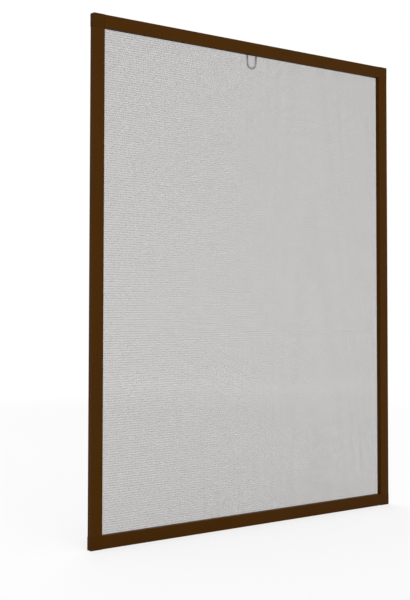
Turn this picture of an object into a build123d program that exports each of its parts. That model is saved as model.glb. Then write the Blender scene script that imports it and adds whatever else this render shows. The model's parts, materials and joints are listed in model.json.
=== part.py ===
from build123d import *
import os
from math import acos, atan2, cos, hypot, sin

# A clip-in insect screen seen from outside the window: +X right, +Z up, flat front towards -Y.
# The origin is the middle of the frame's back plane, which seats on the window frame.
# Sizes are in millimetres.

# Whole frame, measured over the moulded corners
frame_width = 800.0
frame_height = 1000.0

# Aluminium extrusion of the rails and stiles
rail_face = 25.0
rail_depth = 12.0
rail_wall = 1.2
front_round = 0.8
back_round = 0.5
chamber_round = 0.6

# Groove in the back of the extrusion for the mesh and its cord
lip_wall = 1.4
lip_drop = 1.0
groove_width = 4.8
groove_depth = 5.4
grip_depth = 0.25
grip_height = 0.4
grip_pitch = 1.1
grip_rows = 3

# Moulded corners and the tenons that plug into the extrusions
corner_proud = 0.4
corner_round = 1.5
joint_bevel = 0.25
tenon_length = 42.0
tenon_clearance = 0.15
tenon_lead = 1.6
tenon_taper = 1.0
tenon_bevel = 0.6
core_wall = 1.8
core_floor = 2.2
core_count = 3

# Mesh cloth: each open gap stands for a few rows of holes, and each ridged band for their threads
mesh_thickness = 0.3
mesh_slack = 0.05
weave_relief = 0.08
ridge_width = 0.8
ridges_per_band = 2
gap_rows = 120
gap_opening = 3.8
selvedge = 3.0
tuck_depth = 1.6

# Cord pressed into the groove over the mesh
spline_slack = 0.05

# Pull loop: a stout moulded U behind the mesh, held by two flat tongues under the top cord
loop_width = 4.2
loop_thickness = 3.6
loop_spacing = 24.6
loop_drop = 28.2
loop_bend = 11.2
loop_edge_bevel = 1.0
loop_standoff = 0.1
tongue_thickness = 1.0
tongue_depth = 3.0
tongue_slack = 0.05

# Steel hooks on the backs of the rails, with their countersunk screws
hook_spacing = 500.0
hook_width = 20.0
hook_gauge = 1.5
hook_bend = 1.5
hook_setback = 14.0
hook_flange = 11.5
hook_reach = 15.0
upper_hook_leg = 12.0
lower_hook_leg = 8.0
hook_tip_round = 3.0
screw_spacing = 10.0
screw_diameter = 2.9
screw_head_diameter = 5.5
screw_length = 6.5
screw_point = 1.8
screw_clearance = 0.05
slot_length = 3.0
slot_width = 0.7
slot_depth = 0.6

# Places worked out from the sizes above, measured inward from a rail's outer edge
groove_inner = rail_face - lip_wall
groove_outer = groove_inner - groove_width
chamber_width = groove_outer - 2 * rail_wall
chamber_depth = rail_depth - 2 * rail_wall
corner_side = rail_face + corner_proud
rail_length = frame_width - 2 * corner_side
stile_length = frame_height - 2 * corner_side
half_width = frame_width / 2 - corner_proud
half_height = frame_height / 2 - corner_proud
corner_low = (Align.MIN, Align.MIN)
section_corner = (Align.MIN, Align.MAX)

inward_from = {
    "top": Vector(0, 0, -1),
    "right": Vector(-1, 0, 0),
    "bottom": Vector(0, 0, 1),
    "left": Vector(1, 0, 0),
}

os.makedirs("parts", exist_ok=True)


def section_plane(side, along=0.0):
    """A plane across one side of the frame: x runs inward from the outer edge, y towards the back."""
    inward = inward_from[side]
    direction = inward.cross(Vector(0, 1, 0))
    half = half_height if side in ("top", "bottom") else half_width
    return Plane(origin=direction * along - inward * half, x_dir=inward, z_dir=direction)


def draw_rail_section(section):
    """Draws the extrusion's section from the outer edge inward, with the back at y = 0."""
    Rectangle(rail_face, rail_depth, align=section_corner)
    fillet(section.vertices().group_by(Axis.Y)[0], radius=front_round)
    fillet(section.vertices().group_by(Axis.Y)[-1].sort_by(Axis.X)[0], radius=back_round)
    with Locations((rail_wall, -rail_wall)):
        RectangleRounded(
            chamber_width, chamber_depth, chamber_round, align=section_corner, mode=Mode.SUBTRACT
        )
    with Locations((groove_outer, 0)):
        Rectangle(groove_width, groove_depth, align=section_corner, mode=Mode.SUBTRACT)
    with Locations((groove_inner, 0)):
        Rectangle(lip_wall, lip_drop, align=section_corner, mode=Mode.SUBTRACT)
    hollow_depth = rail_depth - groove_depth - 2 * rail_wall
    with Locations((groove_outer, -groove_depth - rail_wall)):
        Rectangle(groove_width, hollow_depth, align=section_corner, mode=Mode.SUBTRACT)
    with Locations(((groove_outer + groove_inner) / 2, -(lip_drop + groove_depth) / 2)):
        with GridLocations(groove_width, grip_pitch, 2, grip_rows):
            Rectangle(2 * grip_depth, grip_height, mode=Mode.SUBTRACT)


def hook_places(side):
    """The section planes of the two hooks of a rail."""
    return [section_plane(side, along) for along in (-hook_spacing / 2, hook_spacing / 2)]


def screw_places(side, height):
    """Planes facing back at the screws of a rail's hooks, at a height above the rail's back."""
    inward = hook_setback - hook_flange / 2
    return [
        Plane(origin=place.from_local_coords((inward, height, along)), z_dir=(0, 1, 0))
        for place in hook_places(side)
        for along in (-screw_spacing / 2, screw_spacing / 2)
    ]


# Rails and stiles: one extrusion, cut square
for side, name, length in (
    ("top", "top_rail", rail_length),
    ("bottom", "bottom_rail", rail_length),
    ("left", "left_stile", stile_length),
    ("right", "right_stile", stile_length),
):
    with BuildPart() as rail:
        with BuildSketch(section_plane(side, -length / 2)) as section:
            draw_rail_section(section)
        extrude(amount=length)
        if name.endswith("rail"):
            with Locations(*screw_places(side, 0)):
                Hole(radius=screw_diameter / 2 + screw_clearance, depth=2 * rail_wall)
    rail.part.label = name
    export_step(rail.part, f"parts/{name}.step")

# Corners: each is the same moulding, turned a quarter about Y from the last
tenon_offset = corner_proud + rail_wall + tenon_clearance
tenon_width = chamber_width - 2 * tenon_clearance
tenon_depth = chamber_depth - 2 * tenon_clearance
tenon_reach = corner_side + tenon_length - tenon_offset
middle = tenon_offset + tenon_width / 2
core_length = (tenon_length - (core_count + 1) * core_wall) / core_count
core_pitch = core_length + core_wall
core_width = tenon_width - 2 * core_wall
groove_start = corner_proud + groove_outer
lip_start = corner_proud + groove_inner


def draw_tenon_section(width, depth):
    """Draws a tenon's section, with its four edges bevelled."""
    tenon_sketch = Rectangle(width, depth)
    chamfer(tenon_sketch.vertices(), length=tenon_bevel)


for name, first in (
    ("bottom_left_corner", "left"),
    ("bottom_right_corner", "bottom"),
    ("top_right_corner", "right"),
    ("top_left_corner", "top"),
):
    across = inward_from[first]
    up = Vector(0, -1, 0).cross(across)
    outer_point = (across + up) * -0.5
    back = Plane(
        origin=(outer_point.X * frame_width, 0, outer_point.Z * frame_height),
        x_dir=across,
        z_dir=(0, -1, 0),
    )
    across_axis = Axis(back.origin, across)
    up_axis = Axis(back.origin, up)

    with BuildPart() as corner:
        # Square block with its outer edges rounded and its two joints eased
        with BuildSketch(back):
            Rectangle(corner_side, corner_side, align=corner_low)
        extrude(amount=rail_depth)
        outer_edge = corner.edges().filter_by(Axis.Y).sort_by(across_axis)[:2].sort_by(up_axis)[0]
        fillet(outer_edge, radius=corner_round)
        front_edges = corner.faces().sort_by(Axis.Y)[0].edges()
        joints = [front_edges.sort_by(across_axis)[-1], front_edges.sort_by(up_axis)[-1]]
        outer_edges = [edge for edge in front_edges if edge not in joints]
        fillet(outer_edges, radius=front_round)
        front_edges = corner.faces().sort_by(Axis.Y)[0].edges()
        chamfer(
            [front_edges.sort_by(across_axis)[-1], front_edges.sort_by(up_axis)[-1]], length=joint_bevel
        )

        # Tenons along both joints, bevelled to clear the chambers' rounds, with a tapered lead
        for root, x_dir, z_dir in (
            ((tenon_offset, middle), up, across),
            ((middle, tenon_offset), across, up),
        ):
            origin = back.from_local_coords((*root, rail_depth / 2))
            tenon = Plane(origin=origin, x_dir=x_dir, z_dir=z_dir)
            with BuildSketch(tenon):
                draw_tenon_section(tenon_width, tenon_depth)
            extrude(amount=tenon_reach - tenon_lead)
            with BuildSketch(tenon.offset(tenon_reach - tenon_lead)):
                draw_tenon_section(tenon_width, tenon_depth)
            with BuildSketch(tenon.offset(tenon_reach)):
                draw_tenon_section(tenon_width - 2 * tenon_taper, tenon_depth - 2 * tenon_taper)
            loft()

        # Cores that lighten the tenons, open to the back
        reach = corner_side + tenon_length / 2
        with BuildSketch(back.offset(rail_wall + tenon_clearance)):
            with Locations((reach, middle)):
                with GridLocations(core_pitch, core_pitch, core_count, 1):
                    Rectangle(core_length, core_width)
            with Locations((middle, reach)):
                with GridLocations(core_pitch, core_pitch, 1, core_count):
                    Rectangle(core_width, core_length)
        extrude(amount=tenon_depth - core_floor, mode=Mode.SUBTRACT)

        # Groove that carries the mesh and cord round the corner
        with BuildSketch(back):
            with Locations((groove_start, groove_start)):
                Rectangle(corner_side - groove_start, corner_side - groove_start, align=corner_low)
            with Locations((lip_start, lip_start)):
                Rectangle(lip_wall, lip_wall, align=corner_low, mode=Mode.SUBTRACT)
        extrude(amount=groove_depth, mode=Mode.SUBTRACT)
        with BuildSketch(back):
            with Locations((lip_start, lip_start)):
                Rectangle(lip_wall, lip_wall, align=corner_low)
        extrude(amount=lip_drop, mode=Mode.SUBTRACT)
    corner.part.label = name
    export_step(corner.part, f"parts/{name}.step")

# Mesh: a thin sheet over the lips, with bands of threads across it, tucked into the groove
sheet_half_width = half_width - groove_inner + mesh_slack + mesh_thickness
sheet_half_height = half_height - groove_inner + mesh_slack + mesh_thickness
tuck_half_width = half_width - groove_outer - mesh_slack
tuck_half_height = half_height - groove_outer - mesh_slack
tuck_floor = groove_depth - mesh_slack
sheet_back = mesh_thickness - lip_drop
opening_width = 2 * (half_width - rail_face)
opening_height = 2 * (half_height - rail_face)
gap_pitch = opening_height / gap_rows
ridge_pitch = (gap_pitch - gap_opening - ridge_width) / (ridges_per_band - 1)


def draw_ring(outer_half_width, outer_half_height, thickness):
    """Draws a rectangular ring of the given thickness inside an outline."""
    Rectangle(2 * outer_half_width, 2 * outer_half_height)
    Rectangle(
        2 * (outer_half_width - thickness), 2 * (outer_half_height - thickness), mode=Mode.SUBTRACT
    )


with BuildPart() as insect_mesh:
    # Bands of threads across the sheet, ridged on the front
    with BuildSketch(Plane.YZ.offset(-sheet_half_width)):
        with Locations((sheet_back, 0)):
            Rectangle(
                mesh_thickness - weave_relief, 2 * sheet_half_height, align=(Align.MAX, Align.CENTER)
            )
        with Locations((-lip_drop, 0)):
            with GridLocations(weave_relief, gap_pitch, 1, gap_rows - 1):
                with GridLocations(weave_relief, ridge_pitch, 1, ridges_per_band):
                    Rectangle(weave_relief, ridge_width, align=(Align.MIN, Align.CENTER))
    extrude(amount=2 * sheet_half_width)

    # Edges turned down the lip, under the cord and up the far wall of the groove
    with BuildSketch(Plane.XZ.offset(-sheet_back)):
        draw_ring(sheet_half_width, sheet_half_height, mesh_thickness)
    extrude(amount=tuck_floor + sheet_back)
    floor_width = tuck_half_width - sheet_half_width + mesh_thickness
    with BuildSketch(Plane.XZ.offset(tuck_floor)):
        draw_ring(tuck_half_width, tuck_half_height, floor_width)
    extrude(amount=-mesh_thickness)
    with BuildSketch(Plane.XZ.offset(tuck_floor)):
        draw_ring(tuck_half_width, tuck_half_height, mesh_thickness)
    extrude(amount=tuck_depth - tuck_floor)

    # Open gaps between the bands
    with BuildSketch(Plane.XZ.offset(lip_drop)):
        with GridLocations(opening_width, gap_pitch, 1, gap_rows):
            Rectangle(opening_width - 2 * selvedge, gap_opening)
    extrude(amount=-mesh_thickness, mode=Mode.SUBTRACT)
insect_mesh.part.label = "insect_mesh"
export_step(insect_mesh.part, "parts/insect_mesh.step")

# Cords in the groove: the two across run into the corners, and the two upright ones meet them
spline_radius = (groove_width - 2 * (mesh_slack + mesh_thickness + spline_slack)) / 2
spline_inward = groove_outer + groove_width / 2
spline_back = tuck_floor - mesh_thickness - spline_slack - spline_radius
across_length = 2 * (tuck_half_width - mesh_thickness - spline_slack)
upright_length = 2 * (half_height - spline_inward - spline_radius - spline_slack)

# Pull loop: two leaning legs that are tangent to the round bottom
loop_front = sheet_back + loop_standoff
tongue_low = half_height - groove_inner + mesh_slack + mesh_thickness + tongue_slack
loop_top = tongue_low + tongue_thickness + loop_width / 2
loop_centre = half_height - rail_face - loop_drop + loop_width / 2 + loop_bend
to_top = hypot(loop_spacing / 2, loop_top - loop_centre)
tangent_angle = atan2(loop_top - loop_centre, loop_spacing / 2) - acos(loop_bend / to_top)
tangent_x = loop_bend * cos(tangent_angle)
tangent_z = loop_centre + loop_bend * sin(tangent_angle)

with BuildPart() as pull_loop:
    with BuildSketch(Plane.XZ.offset(-loop_front)):
        with BuildLine():
            Line((-loop_spacing / 2, loop_top), (-tangent_x, tangent_z))
            ThreePointArc((-tangent_x, tangent_z), (0, loop_centre - loop_bend), (tangent_x, tangent_z))
            Line((tangent_x, tangent_z), (loop_spacing / 2, loop_top))
        trace(line_width=loop_width)
    extrude(amount=-loop_thickness)
    chamfer(pull_loop.edges(), length=loop_edge_bevel)
    with BuildSketch(Plane.XY.offset(tongue_low)):
        with GridLocations(loop_spacing, loop_width, 2, 1):
            with Locations((0, loop_front + loop_thickness / 2)):
                Rectangle(
                    loop_width, loop_front + loop_thickness / 2 + tongue_depth, align=(Align.CENTER, Align.MAX)
                )
    extrude(amount=tongue_thickness)
pull_loop.part.label = "pull_loop"
export_step(pull_loop.part, "parts/pull_loop.step")

for side, name, length in (
    ("top", "top_spline", across_length),
    ("bottom", "bottom_spline", across_length),
    ("left", "left_spline", upright_length),
    ("right", "right_spline", upright_length),
):
    with BuildPart() as spline:
        with BuildSketch(section_plane(side, -length / 2)):
            with Locations((spline_inward, -spline_back)):
                Circle(spline_radius)
        extrude(amount=length)
        if side == "top":
            # The soft cord gives way beside the two tongues of the pull loop
            notch_width = loop_width + 2 * tongue_slack
            with BuildSketch(Plane.XY.offset(tongue_low - tongue_slack)):
                with GridLocations(loop_spacing, notch_width, 2, 1):
                    Rectangle(notch_width, 2 * (tongue_depth + tongue_slack))
            extrude(amount=tongue_thickness + 2 * tongue_slack, mode=Mode.SUBTRACT)
    spline.part.label = name
    export_step(spline.part, f"parts/{name}.step")

# Hooks: a strip bent to a channel, screwed flat to the rail and open towards the frame's outer edge
for name, side, number, leg in (
    ("upper_left_hook", "top", 0, upper_hook_leg),
    ("upper_right_hook", "top", 1, upper_hook_leg),
    ("lower_right_hook", "bottom", 0, lower_hook_leg),
    ("lower_left_hook", "bottom", 1, lower_hook_leg),
):
    near = hook_gauge / 2
    far = hook_gauge + hook_reach + hook_gauge / 2
    web = hook_setback + hook_gauge / 2
    with BuildPart() as hook:
        with BuildSketch(hook_places(side)[number]):
            with BuildLine():
                FilletPolyline(
                    (hook_setback - hook_flange, near),
                    (web, near),
                    (web, far),
                    (hook_setback - leg, far),
                    radius=hook_bend + hook_gauge / 2,
                )
            trace(line_width=hook_gauge)
        extrude(amount=hook_width / 2, both=True)
        tips = hook.edges().filter_by(Axis.Y).filter_by(lambda edge: edge.length < 2 * hook_gauge)
        fillet(tips, radius=hook_tip_round)
        with Locations(*screw_places(side, hook_gauge)[2 * number : 2 * number + 2]):
            CounterSinkHole(
                radius=screw_diameter / 2 + screw_clearance,
                counter_sink_radius=screw_head_diameter / 2 + screw_clearance,
                depth=hook_gauge,
                counter_sink_angle=90,
            )
    hook.part.label = name
    export_step(hook.part, f"parts/{name}.step")

# Countersunk screws, flush with the hooks
screw_head_height = (screw_head_diameter - screw_diameter) / 2
shank_length = screw_length - screw_head_height - screw_point
hang_down = (Align.CENTER, Align.CENTER, Align.MAX)
with BuildPart() as hook_screws:
    with Locations(*screw_places("top", hook_gauge), *screw_places("bottom", hook_gauge)):
        Cone(screw_diameter / 2, screw_head_diameter / 2, screw_head_height, align=hang_down)
        Box(slot_length, slot_width, slot_depth, align=hang_down, mode=Mode.SUBTRACT)
        Box(slot_width, slot_length, slot_depth, align=hang_down, mode=Mode.SUBTRACT)
        with Locations((0, 0, -screw_head_height)):
            Cylinder(screw_diameter / 2, shank_length, align=hang_down)
        with Locations((0, 0, -screw_head_height - shank_length)):
            Cone(slot_width / 2, screw_diameter / 2, screw_point, align=hang_down)
hook_screws.part.label = "hook_screws"
export_step(hook_screws.part, "parts/hook_screws.step")
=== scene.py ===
import json
from math import floor, pi, radians

import bmesh
import bpy
from mathutils import Matrix, Vector


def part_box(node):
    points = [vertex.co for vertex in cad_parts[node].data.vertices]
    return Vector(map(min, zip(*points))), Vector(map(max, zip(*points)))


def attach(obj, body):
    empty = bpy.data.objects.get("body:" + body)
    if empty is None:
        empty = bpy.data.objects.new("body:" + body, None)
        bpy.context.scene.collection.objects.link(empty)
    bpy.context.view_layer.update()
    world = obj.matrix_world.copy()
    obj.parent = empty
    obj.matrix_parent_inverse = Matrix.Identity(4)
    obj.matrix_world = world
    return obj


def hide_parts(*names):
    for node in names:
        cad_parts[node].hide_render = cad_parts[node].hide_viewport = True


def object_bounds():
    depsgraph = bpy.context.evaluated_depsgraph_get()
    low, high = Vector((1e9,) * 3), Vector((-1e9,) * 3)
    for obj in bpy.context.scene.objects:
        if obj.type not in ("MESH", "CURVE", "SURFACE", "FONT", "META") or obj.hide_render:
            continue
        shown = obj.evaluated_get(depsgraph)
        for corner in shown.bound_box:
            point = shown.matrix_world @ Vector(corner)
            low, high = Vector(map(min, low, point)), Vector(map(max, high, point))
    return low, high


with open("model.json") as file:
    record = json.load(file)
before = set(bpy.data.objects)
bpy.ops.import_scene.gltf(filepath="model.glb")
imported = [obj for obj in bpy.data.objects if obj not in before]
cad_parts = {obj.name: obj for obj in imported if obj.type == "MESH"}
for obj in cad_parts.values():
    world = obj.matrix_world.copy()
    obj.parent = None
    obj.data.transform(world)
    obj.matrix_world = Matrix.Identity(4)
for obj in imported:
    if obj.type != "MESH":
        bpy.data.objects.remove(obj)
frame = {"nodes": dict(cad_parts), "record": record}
nodes = frame["nodes"]
solid_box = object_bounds()
floor_level = solid_box[0][2]

# Camera at the photograph's view, outside the window and to its left, with its angles in degrees
camera_place = (-1.5251, -1.7756, -0.0458)
camera_heading = -38.29
camera_tilt = 2.343
camera_roll = 0.097
camera_lens = 67.39
camera_shift = (-0.0008, -0.0698)

# Light, at a level that shows colours as they are written
sky_strength = 0.62
front_lamp = {"place": (-1.4, -3.4, 2.4), "size": 2.6, "power": 72.0}
back_lamp = {"place": (1.6, 3.2, 1.9), "size": 2.6, "power": 60.0}

# Floor: its real paleness, and the shade of it that the camera sees under the glow that makes it white
floor_half_width = 12.0
floor_paleness = 0.85
floor_shade = 0.3

# Mesh cloth, woven from round threads: half its width between the lips, where its tucked edge ends in
# the groove, and how far each of its two layers of threads lies from the middle
sheet_half_width = 0.37635
cut_edge = -0.0016
thread_pitch = 0.0015
thread_radius = 0.0002
thread_sides = 6
layer_offset = 0.00005

# Slant along which a thread's points and faces are put in order, so that every run gives the same mesh
order_slant = Vector((1.0, 0.43, 0.17))

# Every third weft row is heavier at the left, and the rows even out to the right; the extra weight at the
# left darkens the cloth there as painted shade
heavy_every = 3
heavy_spread = 1.64
light_spread = 0.84

# Ribbed cord in the groove, and where the pull loop's tongues press into the top one
cord_ribs = 14
cord_rib_height = 0.00014
tongue_centre = 0.0123
tongue_half_width = 0.00215
tongue_top = 0.47745
press_run = 0.0015


def new_mesh_piece(name, shape, *finishes):
    """Turns a bmesh into a piece of the scene, with its finishes in order."""
    bmesh.ops.recalc_face_normals(shape, faces=shape.faces)
    mesh = bpy.data.meshes.new(name)
    shape.to_mesh(mesh)
    shape.free()
    piece = bpy.data.objects.new(name, mesh)
    bpy.context.scene.collection.objects.link(piece)
    for finish in finishes:
        mesh.materials.append(finish)
    return piece


class Finish:
    """A material's node tree, with short calls to add a node and to join it up."""

    def __init__(self, name):
        self.material = bpy.data.materials.new(name)
        self.material.use_nodes = True
        self.tree = self.material.node_tree
        self.shader = self.tree.nodes["Principled BSDF"]
        self.place = self.add("ShaderNodeTexCoord").outputs["Object"]

    def add(self, kind, **settings):
        node = self.tree.nodes.new(kind)
        for key, value in settings.items():
            setattr(node, key, value)
        return node

    def join(self, start, end):
        self.tree.links.new(start, end)

    def noise(self, scale, detail=2.0, roughness=0.5, stretch=None):
        node = self.add("ShaderNodeTexNoise")
        node.inputs["Scale"].default_value = scale
        node.inputs["Detail"].default_value = detail
        node.inputs["Roughness"].default_value = roughness
        source = self.place
        if stretch:
            mapping = self.add("ShaderNodeMapping")
            mapping.inputs["Scale"].default_value = stretch
            self.join(self.place, mapping.inputs["Vector"])
            source = mapping.outputs["Vector"]
        self.join(source, node.inputs["Vector"])
        return node.outputs["Fac"]

    def ramp(self, factor, stops):
        node = self.add("ShaderNodeValToRGB")
        for element, (position, colour) in zip(node.color_ramp.elements, stops):
            element.position = position
            element.color = (*colour, 1.0)
        self.join(factor, node.inputs["Fac"])
        return node.outputs["Color"]

    def spread(self, factor, low, high):
        node = self.add("ShaderNodeMapRange")
        node.inputs["To Min"].default_value = low
        node.inputs["To Max"].default_value = high
        self.join(factor, node.inputs["Value"])
        return node.outputs["Result"]

    def math(self, operation, first, second=None):
        node = self.add("ShaderNodeMath", operation=operation)
        for socket, value in zip(node.inputs, (first, second)):
            if isinstance(value, (int, float)):
                socket.default_value = value
            elif value is not None:
                self.join(value, socket)
        return node.outputs["Value"]

    def vector_math(self, operation, first, second, output="Value"):
        node = self.add("ShaderNodeVectorMath", operation=operation)
        for socket, value in zip(node.inputs, (first, second)):
            if isinstance(value, Vector):
                socket.default_value = value
            else:
                self.join(value, socket)
        return node.outputs[output]

    def blend(self, first, second, first_share):
        first_part = self.math("MULTIPLY", first, first_share)
        second_part = self.math("MULTIPLY", second, 1 - first_share)
        return self.math("ADD", first_part, second_part)

    def bump(self, height, strength, distance):
        node = self.add("ShaderNodeBump")
        node.inputs["Strength"].default_value = strength
        node.inputs["Distance"].default_value = distance
        self.join(height, node.inputs["Height"])
        return node.outputs["Normal"]

    def put(self, socket, value):
        target = self.shader.inputs[socket]
        if isinstance(value, (int, float, tuple)):
            target.default_value = value
        else:
            self.join(value, target)


def powder_coat():
    """Brown powder coat: a satin skin with a fine orange peel and slightly uneven colour."""
    finish = Finish("brown_powder_coat")
    speck = finish.noise(scale=1400.0, detail=3.0, roughness=0.6)
    cloud = finish.noise(scale=9.0)
    tone = finish.blend(speck, cloud, first_share=0.55)
    stops = [(0.3, (0.056, 0.0192, 0.0009)), (0.7, (0.069, 0.0250, 0.0017))]
    finish.put("Base Color", finish.ramp(tone, stops))
    finish.put("Roughness", finish.spread(speck, low=0.42, high=0.56))
    finish.put("Specular IOR Level", 0.035)
    peel = finish.noise(scale=1700.0)
    finish.put("Normal", finish.bump(peel, strength=0.5, distance=0.00018))
    return finish.material


def corner_moulding():
    """Brown moulded plastic, a touch duller and finer grained than the coat beside it."""
    finish = Finish("brown_moulded_plastic")
    grain = finish.noise(scale=3200.0, roughness=0.65)
    cloud = finish.noise(scale=30.0)
    tone = finish.blend(grain, cloud, first_share=0.5)
    stops = [(0.3, (0.053, 0.0186, 0.0010)), (0.7, (0.065, 0.0240, 0.0018))]
    finish.put("Base Color", finish.ramp(tone, stops))
    finish.put("Roughness", finish.spread(grain, low=0.5, high=0.64))
    finish.put("Specular IOR Level", 0.035)
    finish.put("Normal", finish.bump(grain, strength=0.18, distance=0.00008))
    return finish.material


def thread_coat(name, over):
    """Grey coated glass thread that rises and dips between the threads across it."""
    finish = Finish(name)
    parts = finish.add("ShaderNodeSeparateXYZ")
    finish.join(finish.place, parts.inputs["Vector"])
    rise_x = finish.math("SINE", finish.math("MULTIPLY", parts.outputs["X"], pi / thread_pitch))
    rise_z = finish.math("SINE", finish.math("MULTIPLY", parts.outputs["Z"], pi / thread_pitch))
    weave = finish.math("MULTIPLY", rise_x, rise_z)
    drift = finish.noise(scale=60.0, detail=3.0, roughness=0.6)
    stops = [(0.3, (0.118, 0.094, 0.085)), (0.7, (0.184, 0.149, 0.136))]
    finish.put("Base Color", finish.ramp(drift, stops))
    finish.put("Roughness", finish.spread(drift, low=0.48, high=0.66))
    finish.put("Specular IOR Level", 0.3)
    crossing = finish.math("MULTIPLY", weave, 1.0 if over else -1.0)
    finish.put("Normal", finish.bump(crossing, strength=0.5, distance=0.0001))
    return finish.material


def grey_cord():
    """Matt grey vinyl of the cord, with the dull skin of a drawn profile."""
    finish = Finish("grey_vinyl_cord")
    skin = finish.noise(scale=900.0, detail=3.0, roughness=0.6)
    cloud = finish.noise(scale=25.0)
    tone = finish.blend(skin, cloud, first_share=0.5)
    stops = [(0.3, (0.21, 0.21, 0.212)), (0.7, (0.275, 0.275, 0.278))]
    finish.put("Base Color", finish.ramp(tone, stops))
    finish.put("Roughness", finish.spread(skin, low=0.62, high=0.8))
    finish.put("Specular IOR Level", 0.25)
    finish.put("Normal", finish.bump(skin, strength=0.25, distance=0.0001))
    return finish.material


def loop_moulding_and_painted_light():
    """Milky moulded plastic of the pull loop, painted paler and cooler than the plastic itself: painted
    light that makes up for the mesh's shade over the loop and the brown light bounced onto it.
    """
    finish = Finish("milky_plastic_and_painted_light")
    grain = finish.noise(scale=2600.0, roughness=0.6)
    cloud = finish.noise(scale=80.0)
    tone = finish.blend(grain, cloud, first_share=0.4)
    # Painted light: both stops are paler than the plastic and tinted cool, to make up for the mesh's shade
    # and the frame's brown bounce
    stops = [(0.3, (0.79, 0.80, 0.81)), (0.7, (0.86, 0.87, 0.88))]
    finish.put("Base Color", finish.ramp(tone, stops))
    finish.put("Roughness", finish.spread(grain, low=0.42, high=0.58))
    finish.put("Specular IOR Level", 0.3)
    finish.put("Normal", finish.bump(grain, strength=0.2, distance=0.00006))
    return finish.material


def zinc_plate(name, spangle_scale, streak):
    """Zinc plated steel with a faint spangle and the fine lines of rolled strip."""
    finish = Finish(name)
    spangle = finish.add("ShaderNodeTexVoronoi")
    spangle.inputs["Scale"].default_value = spangle_scale
    finish.join(finish.place, spangle.inputs["Vector"])
    patch = finish.add("ShaderNodeSeparateColor")
    finish.join(spangle.outputs["Color"], patch.inputs["Color"])
    lines = finish.noise(scale=1800.0, roughness=0.6, stretch=streak)
    tone = finish.blend(patch.outputs["Red"], lines, first_share=0.4)
    stops = [(0.2, (0.46, 0.465, 0.47)), (0.8, (0.62, 0.625, 0.63))]
    finish.put("Base Color", finish.ramp(tone, stops))
    finish.put("Metallic", 1.0)
    finish.put("Roughness", finish.spread(tone, low=0.3, high=0.48))
    finish.put("Normal", finish.bump(lines, strength=0.15, distance=0.00005))
    return finish.material


def sweep_ring(shape, radius, places):
    """Sweeps one ring of a thread from place to place, and closes its two ends."""
    ring = bmesh.ops.create_circle(
        shape, cap_ends=True, segments=thread_sides, radius=radius, matrix=places[0]
    )["verts"]
    edges = list(dict.fromkeys(edge for vert in ring for edge in vert.link_edges))
    for before, after in zip(places, places[1:]):
        grown = bmesh.ops.extrude_edge_only(shape, edges=edges)["geom"]
        ring = [item for item in grown if isinstance(item, bmesh.types.BMVert)]
        edges = [
            item for item in grown
            if isinstance(item, bmesh.types.BMEdge) and all(vert in ring for vert in item.verts)
        ]
        bmesh.ops.transform(shape, matrix=after @ before.inverted(), verts=ring)
    bmesh.ops.contextual_create(shape, geom=edges)
    # Points and faces in a fixed order, which the sweep leaves to chance
    shape.verts.sort(key=lambda vert: vert.co.dot(order_slant))
    shape.faces.sort(key=lambda face: face.calc_center_median().dot(order_slant))


def thread_places(corners):
    """Where the ring stands along a thread's square bends: mitred and stretched at each bend."""
    across = Matrix.Rotation(pi / 2, 4, "Y")
    runs = [(after - before).normalized() for before, after in zip(corners, corners[1:])]
    places = []
    for corner, before, after in zip(corners, [runs[0]] + runs, runs + [runs[-1]]):
        middle = (before + after).normalized()
        turn = Vector((1, 0)).angle_signed(middle)
        stretch = 1 / middle.dot(after)
        places.append(
            Matrix.Translation((corner.x, corner.y, 0))
            @ Matrix.Rotation(-turn, 4, "Z")
            @ Matrix.Diagonal((1, stretch, 1, 1))
            @ across
        )
    return places


def repeat_thread(family, count):
    """Lays copies of the first thread side by side, doubling the row until there are enough."""
    verts, edges, faces = len(family.verts), len(family.edges), len(family.faces)
    made = 1
    while made < count:
        extra = min(made, count - made)
        row = family.verts[: extra * verts] + family.edges[: extra * edges] + family.faces[: extra * faces]
        grown = bmesh.ops.duplicate(family, geom=row)["geom"]
        copies = [item for item in grown if isinstance(item, bmesh.types.BMVert)]
        bmesh.ops.translate(family, verts=copies, vec=(0, 0, made * thread_pitch))
        made += extra


def spread_rows(family):
    """Widens every third thread and narrows the two between, less and less towards the right; the widening
    outweighs the narrowing, which darkens the cloth at the left as painted shade.
    """
    for vert in family.verts:
        row = floor(vert.co.z / thread_pitch)
        middle = (row + 0.5) * thread_pitch
        spread = light_spread if row % heavy_every else heavy_spread
        ease = (sheet_half_width - vert.co.x) / (2 * sheet_half_width)
        vert.co.z = middle + (vert.co.z - middle) * (1 + (spread - 1) * ease)


def weave_family(shape, half_length, half_spread, layer, turned):
    """One family of threads: over the lips, down into the groove and up its far side at both ends."""
    low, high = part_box("insect_mesh")
    lip_inset = high.x - sheet_half_width
    far = half_length - thread_radius
    near = half_length - lip_inset + thread_radius
    base = low.y + thread_radius
    over = high.y - thread_radius + layer
    half_path = [
        Vector((-far, cut_edge)),
        Vector((-far, base)),
        Vector((-near, base)),
        Vector((-near, over)),
    ]
    corners = half_path + [Vector((-corner.x, corner.y)) for corner in reversed(half_path)]
    family = bmesh.new()
    sweep_ring(family, thread_radius, thread_places(corners))
    count = 2 * int((half_spread - lip_inset) / thread_pitch)
    bmesh.ops.translate(family, verts=family.verts, vec=(0, 0, -thread_pitch * (count - 1) / 2))
    repeat_thread(family, count)
    if turned:
        upright = Matrix.Rotation(-pi / 2, 3, "Y")
        bmesh.ops.rotate(family, verts=family.verts, cent=(0, 0, 0), matrix=upright)
    else:
        spread_rows(family)
    for face in family.faces:
        face.smooth = len(face.verts) == 4
        face.material_index = int(turned)
    bmesh.ops.recalc_face_normals(family, faces=family.faces)
    mesh = bpy.data.meshes.new("thread_family")
    family.to_mesh(mesh)
    family.free()
    shape.from_mesh(mesh)
    bpy.data.meshes.remove(mesh)


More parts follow.
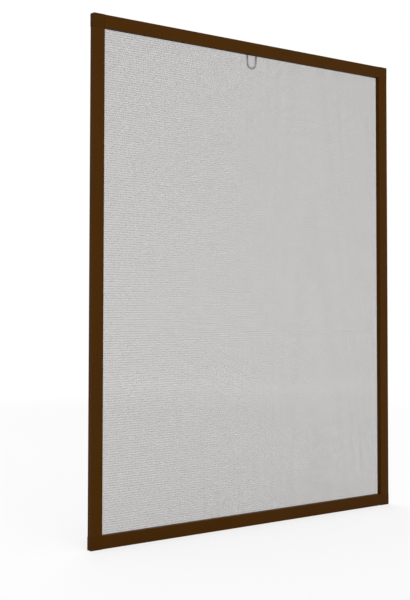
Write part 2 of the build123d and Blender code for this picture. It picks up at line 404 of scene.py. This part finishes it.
def ribbed_cord(node, across):
    """A drawn cord with ribs along it, in the place of its plain solid."""
    low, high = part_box(node)
    length = (high.x - low.x) if across else (high.z - low.z)
    radius = (high.y - low.y) / 2
    shape = bmesh.new()
    verts = bmesh.ops.create_cone(
        shape, cap_ends=True, segments=2 * cord_ribs, radius1=radius, radius2=radius, depth=length
    )["verts"]
    step = pi / cord_ribs
    valleys = [vert for vert in verts if round(Vector((1, 0)).angle_signed(vert.co.xy) / step) % 2]
    ease = (radius - cord_rib_height) / radius
    bmesh.ops.scale(shape, verts=valleys, vec=(ease, ease, 1.0))
    if across:
        level = Matrix.Rotation(pi / 2, 3, "Y")
        bmesh.ops.rotate(shape, verts=verts, cent=(0, 0, 0), matrix=level)
    bmesh.ops.translate(shape, verts=verts, vec=(low + high) / 2)
    if node == "top_spline":
        press_cord(shape)
    return new_mesh_piece("ribbed_" + node, shape, cord_finish)


def press_cord(shape):
    """Flattens the cord's lower side where the two tongues of the pull loop lie under it."""
    edge = tongue_half_width + press_run
    for centre in (-tongue_centre, tongue_centre):
        for cut in (-edge, -tongue_half_width, tongue_half_width, edge):
            bmesh.ops.bisect_plane(
                shape,
                geom=shape.verts[:] + shape.edges[:] + shape.faces[:],
                plane_co=(centre + cut, 0, 0),
                plane_no=(1, 0, 0),
            )
    for vert in shape.verts:
        if abs(abs(vert.co.x) - tongue_centre) < tongue_half_width + press_run / 2:
            vert.co.z = max(vert.co.z, tongue_top)


def lamp_pool(finish, lamp):
    """How white a lamp makes each place of the floor, by its distance and slant."""
    place = Vector(lamp["place"])
    ray = finish.vector_math("SUBTRACT", finish.place, place, "Vector")
    facing = finish.math("MAXIMUM", finish.vector_math("DOT_PRODUCT", ray, -place.normalized()), 0.0)
    square = finish.vector_math("DOT_PRODUCT", ray, ray)
    falloff = finish.math("DIVIDE", facing, finish.math("MULTIPLY", square, square))
    return finish.math("MULTIPLY", falloff, lamp["power"] * (place.z - floor_level) / pi**2)


def floor_coat():
    """Matt floor that looks white: a glow that only the view sees makes up for the light it lacks."""
    finish = Finish("pale_floor")
    finish.tree.nodes.remove(finish.shader)
    matt = finish.add("ShaderNodeBsdfDiffuse")
    glow = finish.add("ShaderNodeEmission")
    paths = finish.add("ShaderNodeLightPath")
    seen = finish.math("MAXIMUM", paths.outputs["Is Camera Ray"], paths.outputs["Is Glossy Ray"])
    seen = finish.math("MAXIMUM", seen, paths.outputs["Is Transmission Ray"])
    tone = finish.ramp(seen, [(0.0, (floor_paleness,) * 3), (1.0, (floor_shade,) * 3)])
    finish.join(tone, matt.inputs["Color"])
    lamplight = finish.math("ADD", lamp_pool(finish, front_lamp), lamp_pool(finish, back_lamp))
    daylight = finish.math("ADD", lamplight, sky_strength)
    shortfall = finish.math("SUBTRACT", 1.0, finish.math("MULTIPLY", daylight, floor_shade))
    finish.join(finish.math("MULTIPLY", shortfall, seen), glow.inputs["Strength"])
    both = finish.add("ShaderNodeAddShader")
    finish.join(matt.outputs["BSDF"], both.inputs[0])
    finish.join(glow.outputs["Emission"], both.inputs[1])
    finish.join(both.outputs["Shader"], finish.tree.nodes["Material Output"].inputs["Surface"])
    return finish.material


def white_sky():
    """Even sky that the camera and shiny faces see as white, and that gives less light than it shows."""
    sky = bpy.data.worlds.new("white_studio")
    sky.use_nodes = True
    tree = sky.node_tree
    background = tree.nodes["Background"]
    background.inputs["Color"].default_value = (1.0, 1.0, 1.0, 1.0)
    paths = tree.nodes.new("ShaderNodeLightPath")
    seen = tree.nodes.new("ShaderNodeMath")
    seen.operation = "MAXIMUM"
    tree.links.new(paths.outputs["Is Camera Ray"], seen.inputs[0])
    tree.links.new(paths.outputs["Is Glossy Ray"], seen.inputs[1])
    level = tree.nodes.new("ShaderNodeMapRange")
    level.inputs["To Min"].default_value = sky_strength
    level.inputs["To Max"].default_value = 1.0
    tree.links.new(seen.outputs["Value"], level.inputs["Value"])
    tree.links.new(level.outputs["Result"], background.inputs["Strength"])
    return sky


# Finishes of the solids that stay, and of the cords
cord_finish = grey_cord()
finish_of = {
    "frame_coat": powder_coat(),
    "corner_plastic": corner_moulding(),
    "spline_cord": cord_finish,
    "loop_plastic": loop_moulding_and_painted_light(),
    "hook_steel": zinc_plate("zinc_plated_strip", spangle_scale=420.0, streak=(1.0, 0.08, 0.08)),
    "screw_steel": zinc_plate("zinc_plated_screw", spangle_scale=900.0, streak=(1.0, 1.0, 1.0)),
}
for part in frame["record"]["subparts"]:
    if part["material_slot"] in finish_of:
        for slot in nodes[part["node"]].material_slots:
            slot.material = finish_of[part["material_slot"]]

# Mesh cloth
mesh_low, mesh_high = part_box("insect_mesh")
cloth_shape = bmesh.new()
weave_family(cloth_shape, mesh_high.x, mesh_high.z, -layer_offset, turned=False)
weave_family(cloth_shape, mesh_high.z, mesh_high.x, layer_offset, turned=True)
cloth = new_mesh_piece(
    "mesh_cloth",
    cloth_shape,
    thread_coat("grey_weft_thread", over=True),
    thread_coat("grey_warp_thread", over=False),
)
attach(cloth, "root")
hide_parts("insect_mesh")

# Cords in the groove
for node in ("top_spline", "bottom_spline", "left_spline", "right_spline"):
    cord = ribbed_cord(node, across=node in ("top_spline", "bottom_spline"))
    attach(cord, "root")
    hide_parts(node)

# Floor and sky
floor_shape = bmesh.new()
bmesh.ops.create_grid(floor_shape, x_segments=1, y_segments=1, size=floor_half_width)
bmesh.ops.translate(floor_shape, verts=floor_shape.verts, vec=(0, 0, floor_level))
new_mesh_piece("pale_floor", floor_shape, floor_coat())
bpy.context.scene.world = white_sky()

# Lamps, both turned to the middle of the screen
for name, lamp in (("front_softbox", front_lamp), ("back_softbox", back_lamp)):
    light = bpy.data.lights.new(name, "AREA")
    light.size = lamp["size"]
    light.energy = lamp["power"]
    holder = bpy.data.objects.new(name, light)
    holder.location = lamp["place"]
    holder.rotation_euler = (-Vector(lamp["place"])).to_track_quat("-Z", "Y").to_euler()
    bpy.context.scene.collection.objects.link(holder)

# Camera
camera = bpy.data.objects.new("photo_view", bpy.data.cameras.new("photo_view"))
camera.data.lens = camera_lens
camera.data.shift_x, camera.data.shift_y = camera_shift
camera.matrix_world = (
    Matrix.Translation(camera_place)
    @ Matrix.Rotation(radians(camera_heading), 4, "Z")
    @ Matrix.Rotation(radians(90 + camera_tilt), 4, "X")
    @ Matrix.Rotation(radians(camera_roll), 4, "Z")
)
bpy.context.scene.collection.objects.link(camera)
bpy.context.scene.camera = camera
bpy.context.scene.view_settings.view_transform = "Standard"
